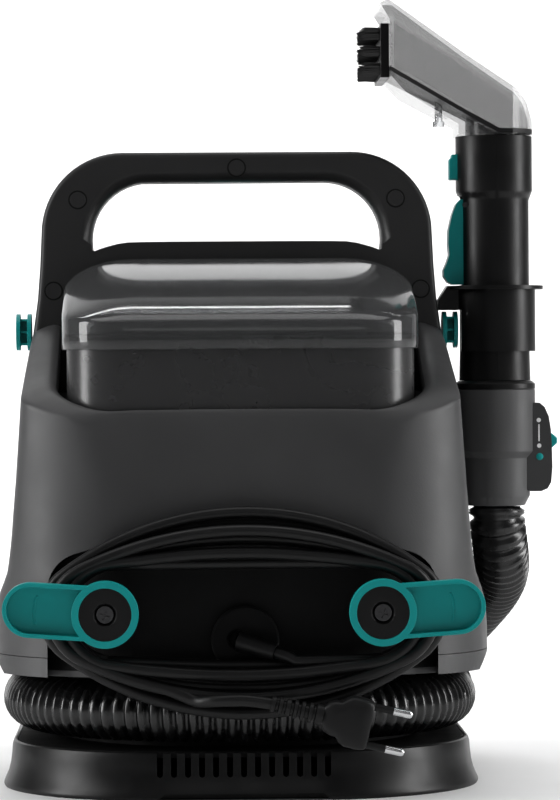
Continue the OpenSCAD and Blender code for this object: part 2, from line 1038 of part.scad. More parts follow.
// One ring of points around a route, square to it
function ring(route, i, r, sides) =
    let (t = heading(route, i))
    let (guide = abs(t[2]) > 0.9 ? [0, 1, 0] : [0, 0, 1])
    let (u = unit(cross(guide, t)))
    let (v = cross(t, u))
    [for (k = [0 : sides - 1])
        route[i] + r * (cos(k * 360 / sides) * u + sin(k * 360 / sides) * v)];

// A tube of radius r that follows a route
module swept(route, r, sides) {
    last = len(route) - 1;
    points = [for (i = [0 : last]) each ring(route, i, r, sides)];
    skin = [for (i = [0 : last - 1], k = [0 : sides - 1])
        let (n = (k + 1) % sides)
        each [[i * sides + k, i * sides + n, (i + 1) * sides + k],
              [i * sides + n, (i + 1) * sides + n, (i + 1) * sides + k]]];
    near_end = [for (k = [0 : sides - 1]) k];
    far_end = [for (k = [sides - 1 : -1 : 0]) last * sides + k];
    polyhedron(points, concat([for (f = skin) [f[0], f[2], f[1]]], [far_end], [near_end]));
}

module hose_tube() {
    color(black)
        swept(concat(hose_rise, hose_loop), hose_r, 12);
}

module cord_tube() {
    color(black) {
        swept(cord_start, cord_d / 2, 8);
        swept(cord_end, cord_d / 2, 8);
    }
}

function ellipse(size) = [for (a = [0 : 7.5 : 352.5]) [size[0] * cos(a), size[1] * sin(a)]];

module cord_hank() {
    color(black)
        translate([0, 0, hook_z - 0.5])
            upright(hank_front_y, hank_back_y)
                difference() {
                    polygon(ellipse(hank_outer));
                    polygon(ellipse(hank_inner));
                }
}

module along_plug() {
    translate(plug_at)
        rotate([0, 90 + plug_angle, 0])
            children();
}

module plug_relief() {
    color(black)
        along_plug()
            cylinder(r1 = 4, r2 = 5.4, h = 26);
}

module plug_body() {
    color(black)
        along_plug()
            translate([0, 0, 26]) {
                translate([-9, -6.5, 0])
                    cube([18, 13, 8]);
                translate([-13, -6.5, 8])
                    cube([26, 13, 16]);
            }
}

module plug_pins() {
    color(steel)
        along_plug()
            for (s = [-1, 1])
                translate([s * 9.5, 0, 50])
                    cylinder(r = 2, h = 19);
}

base_tray();
rubber_feet();
base_screws();
hose_drum();
lower_shell();
front_casing();
rear_casing();
handle_front();
handle_rear();
handle_screw_caps();
tank_deck();
cord_panel();
cord_grommet();
cord_sleeve();
hook_posts();
hook_screws();
hook_left();
hook_right();
peg_left();
peg_right();
motor_housing();
motor();
impeller();
pump_body();
pump_plunger();
air_duct();
inlet_duct();
hose_inlet();
power_button();
recovery_tank();
recovery_float();
tank_lid();
lid_seal();
clean_tank();
filler_cap();
outlet_valve();
valve_seat();
tool_holder();
wand_shell_left();
wand_shell_right();
wand_ring();
hose_cuff();
trigger();
trigger_pin();
nozzle_latch();
nozzle_shell();
nozzle_gasket();
nozzle_cover();
brush_base();
brush_bristles();
spray_tip();
control_housing();
control_slider();
hose_tube();
cord_tube();
cord_hank();
plug_relief();
plug_body();
plug_pins();
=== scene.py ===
import json
import math
import random

import bmesh
import bpy
from mathutils import Matrix, Vector


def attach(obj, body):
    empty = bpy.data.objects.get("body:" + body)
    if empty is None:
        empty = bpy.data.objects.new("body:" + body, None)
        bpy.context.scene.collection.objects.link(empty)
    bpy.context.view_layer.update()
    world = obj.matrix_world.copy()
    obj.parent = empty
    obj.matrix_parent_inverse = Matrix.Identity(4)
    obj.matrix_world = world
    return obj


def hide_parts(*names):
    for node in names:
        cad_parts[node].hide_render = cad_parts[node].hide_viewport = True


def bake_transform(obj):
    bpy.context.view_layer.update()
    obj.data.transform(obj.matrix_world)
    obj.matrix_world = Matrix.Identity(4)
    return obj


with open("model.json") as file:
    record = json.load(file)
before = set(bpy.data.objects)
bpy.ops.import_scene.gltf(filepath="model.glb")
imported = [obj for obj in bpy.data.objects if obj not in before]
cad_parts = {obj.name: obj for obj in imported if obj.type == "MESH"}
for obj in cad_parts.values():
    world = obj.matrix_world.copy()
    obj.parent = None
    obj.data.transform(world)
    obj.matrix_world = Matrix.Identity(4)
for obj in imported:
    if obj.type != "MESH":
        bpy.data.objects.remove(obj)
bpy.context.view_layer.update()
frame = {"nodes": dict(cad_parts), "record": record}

MM = 0.001
body_of = {node: body for body, nodes in frame["record"]["behaviour"]["bodies"].items()
           for node in nodes}
slot_of = {row["node"]: row["material_slot"] for row in frame["record"]["subparts"]}

# ---------------------------------------------------------------- camera

CAMERA_PLACE = Vector((-0.0321, -2.0847, 0.2189))
CAMERA_AZIMUTH = math.radians(-1.5)
CAMERA_ELEVATION = math.radians(0.56)
CAMERA_ROLL = math.radians(-0.37)
CAMERA_LENS_MM = 176.4


def make_camera():
    """The camera for the view in the photo."""
    data = bpy.data.cameras.new("camera")
    data.lens = CAMERA_LENS_MM
    data.sensor_width = 36.0
    data.clip_start = 0.05
    data.clip_end = 20.0
    camera = bpy.data.objects.new("camera", data)
    bpy.context.scene.collection.objects.link(camera)
    back = Vector((math.sin(CAMERA_AZIMUTH) * math.cos(CAMERA_ELEVATION),
                   -math.cos(CAMERA_AZIMUTH) * math.cos(CAMERA_ELEVATION),
                   math.sin(CAMERA_ELEVATION)))
    turn = (-back).to_track_quat("-Z", "Y").to_matrix().to_4x4()
    roll = Matrix.Rotation(CAMERA_ROLL, 4, "Z")
    camera.matrix_world = Matrix.Translation(CAMERA_PLACE) @ turn @ roll
    bpy.context.scene.camera = camera


make_camera()

# ---------------------------------------------------------------- materials

NOISE_LOW, NOISE_HIGH = 0.3, 0.7
GRAIN_HEIGHT = 0.0004


def add_noise(tree, coords, scale, detail=2.0, stretch=(1, 1, 1)):
    mapping = tree.nodes.new("ShaderNodeMapping")
    mapping.inputs["Scale"].default_value = stretch
    tree.links.new(coords.outputs["Object"], mapping.inputs["Vector"])
    noise = tree.nodes.new("ShaderNodeTexNoise")
    noise.inputs["Scale"].default_value = scale
    noise.inputs["Detail"].default_value = detail
    tree.links.new(mapping.outputs["Vector"], noise.inputs["Vector"])
    return noise


def add_range(tree, source, low, high):
    """Stretches the middle of a noise's range, where most of it lies, to the given one."""
    ranged = tree.nodes.new("ShaderNodeMapRange")
    ranged.inputs["From Min"].default_value = NOISE_LOW
    ranged.inputs["From Max"].default_value = NOISE_HIGH
    ranged.inputs["To Min"].default_value = low
    ranged.inputs["To Max"].default_value = high
    tree.links.new(source, ranged.inputs["Value"])
    return ranged.outputs["Result"]


def surface(name, colour, rough, grain=1100, bump=0.05, vary=0.12, rough_vary=0.05,
            blotch=18, stretch=(1, 1, 1), **fixed):
    """A moulded or metal surface: fine grain in the bump, slow change in colour and gloss."""
    material = bpy.data.materials.new(name)
    material.use_nodes = True
    tree = material.node_tree
    shader = tree.nodes["Principled BSDF"]
    for socket, value in fixed.items():
        shader.inputs[socket.replace("_", " ")].default_value = value
    coords = tree.nodes.new("ShaderNodeTexCoord")
    slow = add_noise(tree, coords, blotch, 4.0, stretch)
    mix = tree.nodes.new("ShaderNodeMix")
    mix.data_type = "RGBA"
    mix.inputs["A"].default_value = [c * (1 - vary) for c in colour] + [1]
    mix.inputs["B"].default_value = [min(1, c * (1 + vary)) for c in colour] + [1]
    tree.links.new(add_range(tree, slow.outputs["Fac"], 0, 1), mix.inputs["Factor"])
    tree.links.new(mix.outputs["Result"], shader.inputs["Base Color"])
    patches = add_noise(tree, coords, blotch * 3, 3.0, stretch)
    tree.links.new(add_range(tree, patches.outputs["Fac"], rough - rough_vary, rough + rough_vary),
                   shader.inputs["Roughness"])
    fine = add_noise(tree, coords, grain, 2.0, stretch)
    bumps = tree.nodes.new("ShaderNodeBump")
    bumps.inputs["Strength"].default_value = bump
    bumps.inputs["Distance"].default_value = GRAIN_HEIGHT
    tree.links.new(fine.outputs["Fac"], bumps.inputs["Height"])
    tree.links.new(bumps.outputs["Normal"], shader.inputs["Normal"])
    return material


charcoal = surface("charcoal_plastic", (0.034, 0.034, 0.035), 0.46, bump=0.10,
                   Specular_IOR_Level=0.36)
dark_charcoal = surface("dark_charcoal_plastic", (0.012, 0.012, 0.0123), 0.44, bump=0.10,
                        Specular_IOR_Level=0.30)
black = surface("black_plastic", (0.003, 0.003, 0.0031), 0.36, bump=0.08,
                Specular_IOR_Level=0.22)
deep_black = surface("deep_black_plastic", (0.0015, 0.0015, 0.0016), 0.6, bump=0.12,
                     Specular_IOR_Level=0.12)
teal = surface("teal_plastic", (0.0, 0.262, 0.258), 0.40, bump=0.04, vary=0.05,
               Specular_IOR_Level=0.25)
rubber = surface("black_rubber", (0.004, 0.004, 0.0042), 0.46, grain=700, bump=0.12,
                 Specular_IOR_Level=0.22)
cord_skin = surface("cord_skin", (0.004, 0.004, 0.0042), 0.40, grain=500, bump=0.06,
                    Specular_IOR_Level=0.24)
hose_skin = surface("hose_plastic", (0.003, 0.003, 0.0032), 0.26, grain=260, bump=0.10,
                    rough_vary=0.08, Specular_IOR_Level=0.5)
cuff_grey = surface("cuff_grey_plastic", (0.058, 0.058, 0.059), 0.48, bump=0.10,
                    Specular_IOR_Level=0.30)
dark_steel = surface("dark_steel", (0.06, 0.06, 0.062), 0.34, grain=600, vary=0.05, Metallic=1.0)
steel = surface("steel", (0.62, 0.62, 0.63), 0.24, grain=600, vary=0.05, Metallic=1.0)
bristle = surface("bristle", (0.006, 0.006, 0.006), 0.42, grain=300)
white_paint = surface("white_print", (0.82, 0.82, 0.82), 0.55, vary=0.03)
float_skin = surface("float_plastic", (0.62, 0.62, 0.58), 0.5)
smoked = surface("smoked_clear", (0.30, 0.305, 0.31), 0.08, grain=900, bump=0.005, rough_vary=0.02,
                 vary=0.03, Transmission_Weight=0.90, IOR=1.36)
smoked_nozzle = surface("smoked_nozzle", (0.045, 0.045, 0.046), 0.14, grain=900, bump=0.01,
                        rough_vary=0.03, Alpha=0.40)
smoked_tank = surface("smoked_tank", (0.05, 0.05, 0.051), 0.27, grain=900, bump=0.01,
                      vary=0.03, rough_vary=0.02, Transmission_Weight=0.45, IOR=1.40)
clear = surface("clear_plastic", (0.66, 0.67, 0.68), 0.07, grain=900, bump=0.005, rough_vary=0.02,
                vary=0.03, Transmission_Weight=0.94, IOR=1.40)
floor_paint = surface("floor_paint", (0.86, 0.86, 0.86), 0.6, grain=40, vary=0.01)

look_of_slot = {"charcoal_plastic": charcoal, "black_plastic": black, "teal_plastic": teal,
                "smoked_clear": smoked, "clear_plastic": clear, "black_rubber": rubber,
                "steel": steel, "hose_plastic": hose_skin, "float_plastic": float_skin,
                "bristle": bristle}

# ---------------------------------------------------------------- mesh helpers

# Metres: points nearer than this are one
SAME_PLACE = 1e-6
# Degrees: CAD edges sharper than this stay sharp, and flatter than the second are dissolved
SHARP_DEG, FLAT_DEG = 34, 0.6


def piece(name, data, material, body, replaces=()):
    """One visible piece, riding on a body, in place of some CAD nodes."""
    thing = bpy.data.objects.new(name, data)
    bpy.context.scene.collection.objects.link(thing)
    data.materials.clear()
    data.materials.append(material)
    if body:
        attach(thing, body)
    if replaces:
        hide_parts(*replaces)
    return thing


def mesh_of(name, points, faces, smooth_angle=40):
    """A mesh from points in millimetres, with its normals turned outwards."""
    data = bpy.data.meshes.new(name)
    data.from_pydata([Vector(p) * MM for p in points], [], faces)
    work = bmesh.new()
    work.from_mesh(data)
    bmesh.ops.remove_doubles(work, verts=work.verts, dist=SAME_PLACE)
    bmesh.ops.recalc_face_normals(work, faces=work.faces)
    work.to_mesh(data)
    work.free()
    data.shade_smooth()
    data.set_sharp_from_angle(angle=math.radians(smooth_angle))
    return data


def full_turn(count):
    """Even angles round a circle."""
    return [2 * math.pi * k / count for k in range(count)]


def skin_faces(rings, count, closed_rings=True, closed_run=False):
    """Quads between neighbouring rings of count points each."""
    faces = []
    for i in range(rings if closed_run else rings - 1):
        j = (i + 1) % rings
        for k in range(count if closed_rings else count - 1):
            n = (k + 1) % count
            faces.append((i * count + k, i * count + n, j * count + n, j * count + k))
    return faces


def tube_of(sections, caps=True):
    """Points and faces of a tube through closed sections with the same number of points."""
    count = len(sections[0])
    points = [p for section in sections for p in section]
    faces = skin_faces(len(sections), count)
    if caps:
        faces.append(tuple(range(count)))
        faces.append(tuple(range(len(points) - 1, len(points) - 1 - count, -1)))
    return points, faces


def lathe(profile, centre, segments=64):
    """A closed profile of (radius, height) turned about an upright axis, in millimetres."""
    sections = []
    for a in full_turn(segments):
        sections.append([(centre[0] + r * math.cos(a), centre[1] + r * math.sin(a), z)
                         for r, z in profile])
    count = len(profile)
    points = [p for section in sections for p in section]
    return points, skin_faces(segments, count, closed_run=True)


def turned_y(profile, centre, segments=40):
    """A profile of (radius, y) turned about a line along Y through (x, z)."""
    points = []
    for r, y in profile:
        points.extend((centre[0] + r * math.cos(a), y, centre[1] + r * math.sin(a))
                      for a in full_turn(segments))
    return points, skin_faces(len(profile), segments, closed_run=True)


def joined(parts):
    """Several sets of points and faces as one."""
    points, faces = [], []
    for more_points, more_faces in parts:
        base = len(points)
        points.extend(more_points)
        faces.extend(tuple(base + i for i in face) for face in more_faces)
    return points, faces


def prism(ring, y0, y1):
    """A solid between two upright planes, from an outline of (x, z)."""
    return tube_of([[(x, y, z) for x, z in ring] for y in (y0, y1)])


def block(x0, x1, y0, y1, z0, z1):
    return prism([(x0, z0), (x1, z0), (x1, z1), (x0, z1)], y0, y1)


def soften(thing, width, segments=3, angle=32):
    """Rounds the sharp edges of a piece, width in millimetres."""
    bevel = thing.modifiers.new("edges", "BEVEL")
    bevel.width = width * MM
    bevel.segments = segments
    bevel.limit_method = "ANGLE"
    bevel.angle_limit = math.radians(angle)
    bevel.miter_outer = "MITER_ARC"
    normals = thing.modifiers.new("normals", "WEIGHTED_NORMAL")
    normals.keep_sharp = True
    return thing


def refined(node, width, material=None, name=None, segments=3):
    """A CAD piece whose form is right, with its edges rounded as a moulding's are."""
    data = frame["nodes"][node].data.copy()
    work = bmesh.new()
    work.from_mesh(data)
    bmesh.ops.remove_doubles(work, verts=work.verts, dist=2 * SAME_PLACE)
    bmesh.ops.dissolve_limit(work, angle_limit=math.radians(FLAT_DEG), verts=work.verts,
                             edges=work.edges)
    for edge in work.edges:
        edge.smooth = True
    work.to_mesh(data)
    work.free()
    data.shade_smooth()
    data.set_sharp_from_angle(angle=math.radians(SHARP_DEG))
    thing = piece(name or node + "_moulding", data, material or look_of_slot[slot_of[node]],
                  body_of[node], replaces=(node,))
    return soften(thing, width, segments)


def cut(thing, cutter_points, cutter_faces):
    """Takes a solid, given in millimetres, out of a piece."""
    data = mesh_of("cutter", cutter_points, cutter_faces)
    cutter = bpy.data.objects.new("cutter", data)
    bpy.context.scene.collection.objects.link(cutter)
    step = thing.modifiers.new("cut", "BOOLEAN")
    step.operation = "DIFFERENCE"
    step.solver = "EXACT"
    step.object = cutter
    bpy.context.view_layer.update()
    graph = bpy.context.evaluated_depsgraph_get()
    result = bpy.data.meshes.new_from_object(thing.evaluated_get(graph))
    thing.modifiers.remove(step)
    old = thing.data
    thing.data = result
    bpy.data.meshes.remove(old)
    bpy.data.objects.remove(cutter)
    bpy.data.meshes.remove(data)
    result.shade_smooth()
    result.set_sharp_from_angle(angle=math.radians(SHARP_DEG))


def smooth_value(rows, t):
    """Smooth curve through rows of (t, value, ...), with no overshoot."""
    rows = sorted(rows)
    if t <= rows[0][0]:
        return rows[0][1:]
    if t >= rows[-1][0]:
        return rows[-1][1:]
    i = max(k for k in range(len(rows) - 1) if rows[k][0] <= t)
    t0, t1 = rows[i][0], rows[i + 1][0]
    u = (t - t0) / (t1 - t0)
    out = []
    for c in range(1, len(rows[0])):
        def slope(k):
            if k <= 0 or k >= len(rows) - 1:
                return 0.0
            left = (rows[k][c] - rows[k - 1][c]) / (rows[k][0] - rows[k - 1][0])
            right = (rows[k + 1][c] - rows[k][c]) / (rows[k + 1][0] - rows[k][0])
            return 0.0 if left * right <= 0 else 2 * left * right / (left + right)
        v0, v1 = rows[i][c], rows[i + 1][c]
        m0, m1 = slope(i) * (t1 - t0), slope(i + 1) * (t1 - t0)
        if i == 0:
            m0 = v1 - v0
        if i == len(rows) - 2:
            m1 = v1 - v0
        out.append((2 * u**3 - 3 * u**2 + 1) * v0 + (u**3 - 2 * u**2 + u) * m0
                   + (3 * u**2 - 2 * u**3) * v1 + (u**3 - u**2) * m1)
    return tuple(out)


def spread(points, step):
    """Points an even step apart on a smooth curve through the given ones."""
    fine = []
    last = len(points) - 1
    for i in range(last):
        p0, p1 = points[max(i - 1, 0)], points[i]
        p2, p3 = points[i + 1], points[min(i + 2, last)]
        for k in range(12):
            t = k / 12
            fine.append(0.5 * (2 * p1 + (p2 - p0) * t + (2 * p0 - 5 * p1 + 4 * p2 - p3) * t**2
                               + (3 * p1 - p0 - 3 * p2 + p3) * t**3))
    fine.append(points[-1])
    gone = [0.0]
    for a, b in zip(fine, fine[1:]):
        gone.append(gone[-1] + (b - a).length)
    count = max(2, round(gone[-1] / step))
    out, k = [], 0
    for i in range(count + 1):
        want = gone[-1] * i / count
        while k < len(gone) - 2 and gone[k + 1] < want:
            k += 1
        part = (want - gone[k]) / (gone[k + 1] - gone[k])
        out.append(fine[k].lerp(fine[k + 1], part))
    return out


# ---------------------------------------------------------------- mains cord

CORD_D = 0.0062
HOOK_Z = 0.0953
WINDING_Z = HOOK_Z - 0.0005
# Each turn round the hooks: half length, half height, depth in the winding
TURNS = [(0.0873, 0.0252, -0.1455), (0.0873, 0.0272, -0.1397), (0.0930, 0.0338, -0.1397),
         (0.0987, 0.0450, -0.1397), (0.0987, 0.0498, -0.1455), (0.0930, 0.0372, -0.1455),
         (0.0880, 0.0302, -0.1513), (0.0945, 0.0412, -0.1513)]
END_ARC_R = 0.0248
CORD_START = [(0.016, -0.1447, 0.0748), (0.020, -0.146, 0.0734), (0.024, -0.1468, 0.072),
              (0.028, -0.147, 0.0705)]
CORD_END = [(-0.024, -0.154, 0.052), (-0.020, -0.158, 0.052), (-0.014, -0.161, 0.0524),
            (-0.007, -0.1626, 0.0528), (0.0, -0.163, 0.0528), (0.007, -0.163, 0.052),
            (0.013, -0.163, 0.051)]


def lens_point(half_length, half_height, angle):
    """A point of a lens-shaped turn, at the given direction of its outward normal."""
    reach = half_length - END_ARC_R
    big = (reach**2 + half_height**2 - END_ARC_R**2) / (2 * (half_height - END_ARC_R))
    change = math.atan2(big - half_height, reach)
    c, s = math.cos(angle), math.sin(angle)
    if abs(math.atan2(s, abs(c))) < change:
        return math.copysign(reach, c) + END_ARC_R * c, END_ARC_R * s
    return big * c, big * s - math.copysign(big - half_height, s)


def ease(t):
    """Smooth step from 0 to 1."""
    t = max(0.0, min(1.0, t))
    return t * t * (3 - 2 * t)


def winding_points():
    """The turns round the two hooks; the cord changes place behind the left hook."""
    first, last = math.radians(-70), math.radians(180 + 360 * (len(TURNS) - 1) + 78)
    window = math.radians(70)
    count = round((last - first) / math.radians(5))
    rng = random.Random(7)
    sway = [(rng.uniform(0, 6.28), rng.uniform(0.0004, 0.0011)) for _ in TURNS]
    out = []
    for i in range(count + 1):
        angle = first + (last - first) * i / count
        past = (angle - math.pi) / (2 * math.pi)
        turn = min(max(math.ceil(past), 0), len(TURNS) - 1)
        size = Vector(TURNS[turn])
        wave = sway[turn][1] * math.sin(2 * angle + sway[turn][0])
        change = round(past)
        near = angle - math.pi - 2 * math.pi * change
        if abs(near) < window / 2 and 0 <= change < len(TURNS) - 1:
            size = Vector(TURNS[change]).lerp(Vector(TURNS[change + 1]),
                                              ease(near / window + 0.5))
        x, z = lens_point(size[0], size[1], angle)
        out.append(Vector((x, size[2], WINDING_Z + z + wave * math.sin(angle) ** 2)))
    return out


def make_cord():
    """The mains cord as a curve, from the sleeve in the grommet to the plug."""
    route = [Vector(p) for p in CORD_START] + winding_points() + [Vector(p) for p in CORD_END]
    route = spread(route, 0.004)
    data = bpy.data.curves.new("mains_cord", "CURVE")
    data.dimensions = "3D"
    data.bevel_depth = CORD_D / 2
    data.bevel_resolution = 4
    data.use_fill_caps = True
    spline = data.splines.new("POLY")
    spline.points.add(len(route) - 1)
    for point, place in zip(spline.points, route):
        point.co = (*place, 1)
    spline.use_smooth = True
    return piece("mains_cord", data, cord_skin, "housing",
                 ("cord_tube", "cord_hank"))


PLUG_AT = (13, -163, 51)
PLUG_ANGLE = math.radians(13)
PIN_OFFSET = 9.5
plug_frame = Matrix.Translation(Vector(PLUG_AT)) @ Matrix.Rotation(math.pi / 2 + PLUG_ANGLE, 4, "Y")


def make_plug_relief():
    """Ribbed, tapered sleeve between the cord and the plug."""
    sections = []
    length, count = 26, 66
    thin_r, widening, ribs, groove = 4.0, 1.3, 7, 1.5
    for i in range(count + 1):
        t = i / count
        r = thin_r + widening * t
        if 0.04 < t < 0.86 and (t * ribs) % 1 > 0.55:
            r -= groove
        sections.append([plug_frame @ Vector((r * math.cos(a), r * math.sin(a), t * length))
                         for a in full_turn(20)])
    return piece("plug_sleeve", mesh_of("plug_sleeve", *tube_of(sections)), rubber, "housing",
                 replaces=("plug_relief",))


def make_plug_body():
    """Flat two-pin plug: a narrow neck, a waisted grip and a wide pin end."""
    rows = [(26, 5.0, 4.4), (28, 7.6, 5.2), (31, 8.8, 6.0), (34, 9.0, 6.3), (36, 11.2, 6.3),
            (39, 12.8, 6.4), (45, 12.9, 6.45), (48.8, 12.3, 6.2), (49.8, 11.2, 5.4)]
    sections = []
    for z, w, t in rows:
        ring = []
        for a in full_turn(32):
            c, s = math.cos(a), math.sin(a)
            ring.append(plug_frame @ Vector((w * math.copysign(abs(c) ** 0.45, c),
                                             t * math.copysign(abs(s) ** 0.6, s), z)))
        sections.append(ring)
    return piece("plug_grip", mesh_of("plug_grip", *tube_of(sections)), rubber, "housing",
                 replaces=("plug_body",))


def plug_pair(name, profile, material, replaces=()):
    """One profile of (radius, height) turned at the place of each of the two pins."""
    parts = []
    for x in (-PIN_OFFSET, PIN_OFFSET):
        points = [plug_frame @ Vector((x + r * math.cos(a), r * math.sin(a), z))
                  for r, z in profile for a in full_turn(20)]
        parts.append((points, skin_faces(len(profile), 20)))
    return piece(name, mesh_of(name, *joined(parts)), material, "housing", replaces)


def make_plug_pins():
    """Two round metal pins with domed tips, each in a short sleeve."""
    pin = [(0.02, 69), (1.2, 68.8), (1.85, 68.0), (2.0, 66.8), (2.0, 59.5)]
    sleeve = [(1.86, 59.6), (1.86, 50), (0.02, 50)]
    return (plug_pair("plug_pins_metal", pin, steel, ("plug_pins",)),
            plug_pair("plug_pin_sleeves", sleeve, rubber))


mains_cord = make_cord()
plug_pieces = [make_plug_relief(), make_plug_body(), *make_plug_pins()]
cord_sleeve_piece = refined("cord_sleeve", 0.3, rubber)

# ---------------------------------------------------------------- suction hose

HOSE_D = 0.030
HOSE_PITCH = 0.006
# Shares of the radius that are the valleys, and the ridges above them
HOSE_VALLEY, HOSE_RIDGE = 0.83, 0.17
HOSE_Z = 0.043
# Half width, half depth and squareness of the wound part
HOSE_A, HOSE_B, HOSE_N = 0.110, 0.118, 2.3
HOSE_RISE = [(0.138, 0.003, 0.1412), (0.138, 0.003, 0.134), (0.139, 0.006, 0.127),
             (0.1405, 0.013, 0.119), (0.142, 0.024, 0.1115), (0.1428, 0.038, 0.1045),
             (0.142, 0.054, 0.0975), (0.139, 0.070, 0.090), (0.134, 0.084, 0.082),
             (0.127, 0.098, 0.0725), (0.116, 0.110, 0.060), (0.101, 0.120, 0.050),
             (0.084, 0.121, 0.045), (0.064, 0.116, 0.043)]


def hose_loop_points():
    """The part of the hose that is wound round the drum."""
    out = []
    for a in range(70, 371, 6):
        c, s = math.cos(math.radians(a)), math.sin(math.radians(a))
        out.append(Vector((HOSE_A * math.copysign(abs(c) ** (2 / HOSE_N), c),
                           HOSE_B * math.copysign(abs(s) ** (2 / HOSE_N), s), HOSE_Z)))
    return out


def make_hose():
    """The corrugated hose, wound round the drum and rising to the hand tool."""
    # Height of a corrugation at even steps along one pitch
    ridge = [0.0, 0.10, 0.72, 1.0, 0.88, 1.0, 0.72, 0.10]
    steps = len(ridge)
    route = spread([Vector(p) for p in HOSE_RISE] + hose_loop_points(), HOSE_PITCH / steps)
    sides = 26
    sections = []
    side = Vector((1, 0, 0))
    for i, place in enumerate(route):
        ahead = (route[min(i + 1, len(route) - 1)] - route[max(i - 1, 0)]).normalized()
        side = (side - ahead * side.dot(ahead)).normalized()
        up = ahead.cross(side)
        r = HOSE_D / 2 * (HOSE_VALLEY + HOSE_RIDGE * ridge[i % steps])
        sections.append([(place + r * (math.cos(a) * side + math.sin(a) * up)) / MM
                         for a in full_turn(sides)])
    thing = piece("hose_corrugated", mesh_of("hose_corrugated", *tube_of(sections), 60),
                  hose_skin, None, replaces=("hose_tube",))
    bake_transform(thing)


make_hose()

# ---------------------------------------------------------------- body shells

# Height, half width and half depth of the tapering front and side profiles
BODY_ROWS = [(61.5, 121, 131), (66, 124.6, 133.6), (71, 126.8, 135), (80, 126.8, 135),
             (90, 126, 135), (98, 124.6, 135), (104, 122.6, 135), (112, 119.4, 135),
             (125, 117.4, 134.5), (151, 115, 133.6), (180, 112.7, 132), (208, 110.8, 128.3),
             (231, 108.4, 126), (253, 105.6, 123), (262, 104.8, 122), (287, 103.4, 116)]
PLAN_HALF_W, PLAN_HALF_D = 127, 135
# For the front and the rear: corner radius of the widest plan, and the pivot of the end's lines
CORNERS = {-1: (72, 40), 1: (95, 38)}
# Place from front to back, and height of the rim there
SHOULDER_ROWS = [(-136, 186), (-131.5, 190.3), (-127, 196), (-122, 198.8), (-112, 203.4),
                 (-90, 211), (-60, 222.5), (-30, 235), (-12, 240)]
WELL_HALF_W, WELL_FRONT, WELL_R = 92.5, 127.6, 31
HANDLE_FRONT, HANDLE_MID, HANDLE_REAR = -12, 3, 18
SEAM_Z, LEG_Z, REAR_TOP_Z, RIM_DROP = 71.0, 203, 262, 5
SEAM_GAP = 0.7
RIM_LEAST = 4.0
SHELL_LOW = SEAM_Z + SEAM_GAP / 2
WALL, WALL_BANDS = 3, 26
# The rim is level across the middle, and then falls by RIM_DROP over a width
LEVEL_HALF_W, FALL_WIDTH = 55, 45
BUTTON_X, BUTTON_Z, BUTTON_HOLE_R = -14, 95, 11.4


END_STEPS = 84
# Neighbouring directions whose reach is mixed, so that the outline's corners are soft
EDGE_STEP_DEG = 1.6
EDGE_SHARES = ((-2, 0.1), (-1, 0.25), (0, 0.3), (1, 0.25), (2, 0.1))


def half_outline(w, d, r, side_ys, toward):
    """Half of a rounded plan outline, from its left side round the front or rear to its right."""
    arc, face = 16, 14
    corner_y = toward * (d - r)
    left = [(-w, y) for y in side_ys if (y - corner_y) * toward < -0.5]
    left += [(-w, corner_y)] * (len(side_ys) - len(left))
    for i in range(arc):
        a = math.pi / 2 * i / arc
        left.append((-(w - r) - r * math.cos(a), corner_y + toward * r * math.sin(a)))
    middle = [(-(w - r) + 2 * (w - r) * i / face, toward * d) for i in range(face + 1)]
    return left + middle + [(-x, y) for x, y in reversed(left)]


def make_columns(side_ys):
    """Upright lines of a casing: places along its sides, then directions round its end."""
    rays = [(0, math.radians(180 * k / END_STEPS)) for k in range(END_STEPS + 1)]
    return [(-1, y) for y in side_ys] + rays + [(1, y) for y in reversed(side_ys)]


def reach(angle, w, d, inset, toward):
    """How far the body's outline is from the pivot of its end, in one direction."""
    corner_r, pivot = CORNERS[toward]
    c, s = math.cos(angle), math.sin(angle)
    best = w / max(abs(c), 1e-6)
    if s > 1e-6:
        best = min(best, (d - pivot) / s)
    cx, cy = PLAN_HALF_W - corner_r, PLAN_HALF_D - corner_r - pivot
    along_ray = cx * abs(c) + cy * s
    room = along_ray**2 - cx**2 - cy**2 + (corner_r - inset)**2
    if room > 0:
        hit = along_ray + math.sqrt(room)
        if hit * abs(c) >= cx and hit * s >= cy:
            best = min(best, hit)
    return best


def body_point(column, z, inset, toward):
    """The body's outline at a height: its widest plan, cut by its tapering front and sides."""
    w, d = smooth_value(BODY_ROWS, z)
    w, d = w - inset, d - inset
    side, value = column
    if side:
        return side * w, value
    step = math.radians(EDGE_STEP_DEG)
    length = sum(share * reach(value + k * step, w, d, inset, toward)
                 for k, share in EDGE_SHARES)
    x, y = length * math.cos(value), CORNERS[toward][1] + length * math.sin(value)
    return -max(-w, min(w, x)), toward * min(d, y)


def toward_centre(place, ring, centre=(0.0, -45.0)):
    """Where the line from a point of the outline to the middle crosses an inner outline.

    The crossing may lie a little behind the point, but the result is always inside it.
    """
    start, way = Vector(place), Vector(centre) - Vector(place)
    least = RIM_LEAST / way.length
    best = None
    for a, b in zip(ring, ring[1:]):
        a, b = Vector(a), Vector(b)
        side = b - a
        cross = way.x * side.y - way.y * side.x
        if abs(cross) < 1e-9:
            continue
        gap = a - start
        t = (gap.x * side.y - gap.y * side.x) / cross
        u = (gap.x * way.y - gap.y * way.x) / cross
        if -1e-6 <= u <= 1 + 1e-6 and -0.2 <= t <= 1 and (best is None or t < best):
            best = t
    return tuple(start + way * max(best or 0, least))


